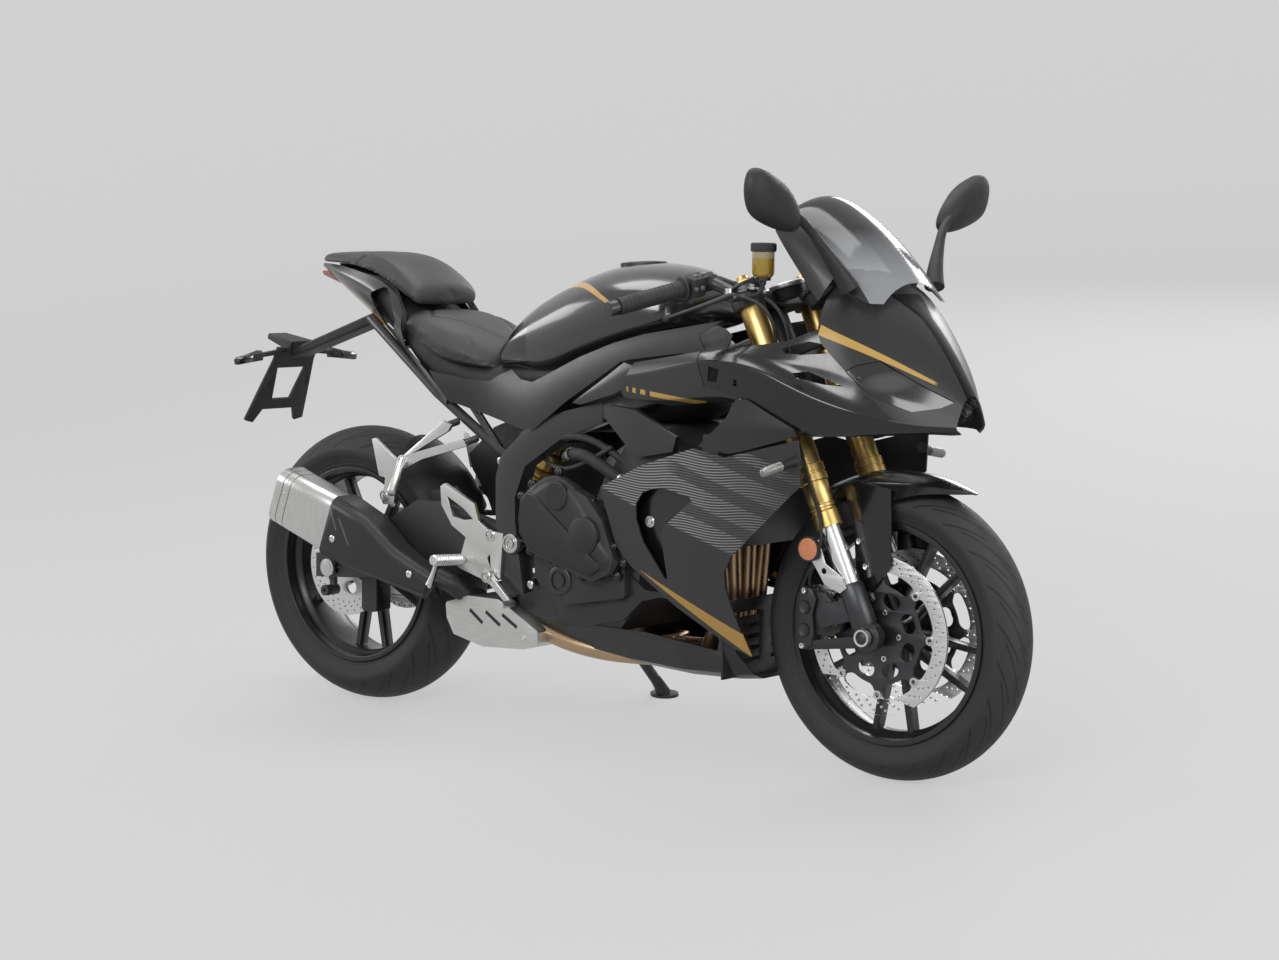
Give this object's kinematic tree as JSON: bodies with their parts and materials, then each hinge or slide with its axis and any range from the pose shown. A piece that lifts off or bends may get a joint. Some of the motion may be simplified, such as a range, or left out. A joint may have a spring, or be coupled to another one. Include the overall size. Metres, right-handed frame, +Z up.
{
  "type": "sport bike",
  "caption": "Fully faired sport bike on its side stand, with turning wheels, steering fork with clip-on bars, folding stand, split seats and tail.",
  "frame": {"origin": "centre of the underside of the bounding box, on the floor under the leaning bike", "axes": "+X forward along the bike, +Y to the rider's left, +Z up; the bike leans 10 degrees to +Y on its side stand"},
  "size_m": [2.0813, 0.8496, 1.2649],
  "materials": {
    "black_satin": "satin black bodywork",
    "dark_frame": "satin dark grey paint",
    "tank_paint": "gloss dark grey paint",
    "gold_anodised": "gold anodised",
    "dark_aluminium": "dark anodised",
    "bright_aluminium": "brushed",
    "steel": "machined steel",
    "disc_steel": "ground steel",
    "tyre_rubber": "tyre rubber",
    "wheel_paint": "gloss black",
    "engine_grey": "satin cast",
    "header_bronze": "heat-tinted",
    "grip_rubber": "matte",
    "seat_vinyl": "matte grey cover",
    "matte_black": "matte black",
    "smoked_screen": "smoked clear plastic",
    "lamp_lens": "clear lens",
    "red_lens": "red lens",
    "amber": "amber fluid reservoir",
    "chain_steel": "oiled steel"
  },
  "bodies": {
    "frame": {"belly_pan": "black_satin", "drive_chain": "chain_steel", "engine": "engine_grey", "engine_covers": "engine_grey", "exhaust_box": "bright_aluminium", "exhaust_headers": "header_bronze", "fairing_stay": "dark_frame", "front_signals": "matte_black", "fuel_cap": "dark_aluminium", "fuel_tank": "tank_paint", "headlights": "lamp_lens", "hugger": "matte_black", "instrument": "matte_black", "main_frame": "dark_frame", "mid_panels": "black_satin", "mirrors": "matte_black", "nose_cowl": "black_satin", "passenger_footrests": "bright_aluminium", "pillion_seat": "seat_vinyl", "plate_hanger": "matte_black", "radiator": "dark_aluminium", "rear_axle": "steel", "rear_caliper": "dark_aluminium", "rear_signals": "matte_black", "rider_footrests": "bright_aluminium", "rider_seat": "seat_vinyl", "shock_absorber": "gold_anodised", "side_covers": "black_satin", "side_fairings": "black_satin", "silencer_can": "bright_aluminium", "silencer_cover": "matte_black", "subframe": "dark_frame", "swingarm": "dark_frame", "tail_fairing": "black_satin", "tail_light": "red_lens", "upper_side_panels": "black_satin", "windscreen": "smoked_screen"},
    "steering": {"fork_outer_tubes": "gold_anodised", "fork_lower_legs": "dark_aluminium", "front_axle": "steel", "lower_yoke": "dark_aluminium", "upper_yoke": "dark_aluminium", "handlebars": "dark_aluminium", "grips": "grip_rubber", "hand_controls": "matte_black", "brake_reservoir": "amber", "front_fender": "black_satin", "front_calipers": "dark_aluminium"},
    "front_wheel": {"front_tyre": "tyre_rubber", "front_rim": "wheel_paint", "front_brake_discs": "disc_steel"},
    "rear_wheel": {"rear_tyre": "tyre_rubber", "rear_rim": "wheel_paint", "rear_brake_disc": "disc_steel", "rear_sprocket": "steel"},
    "side_stand": {"side_stand": "dark_frame"}
  },
  "joints": [
    {"name": "steering_hinge", "type": "hinge", "parent": "frame", "child": "steering", "pos_m": [0.71347, -0.15165, 0.28395], "axis": [-0.4222, 0.1574, 0.8927], "range_deg": [-27, 27]},
    {"name": "front_wheel_spin", "type": "hinge", "parent": "steering", "child": "front_wheel", "pos_m": [0.74066, -0.14945, 0.29642], "axis": [0, 0.9848, -0.1736], "continuous": true},
    {"name": "rear_wheel_spin", "type": "hinge", "parent": "frame", "child": "rear_wheel", "pos_m": [-0.69933, -0.14674, 0.31178], "axis": [0, 0.9848, -0.1736], "continuous": true},
    {"name": "side_stand_hinge", "type": "hinge", "parent": "frame", "child": "side_stand", "pos_m": [-0.13936, -0.01614, 0.2347], "axis": [0.147, 0.9115, 0.384], "range_deg": [0, 105.1]}
  ]
}
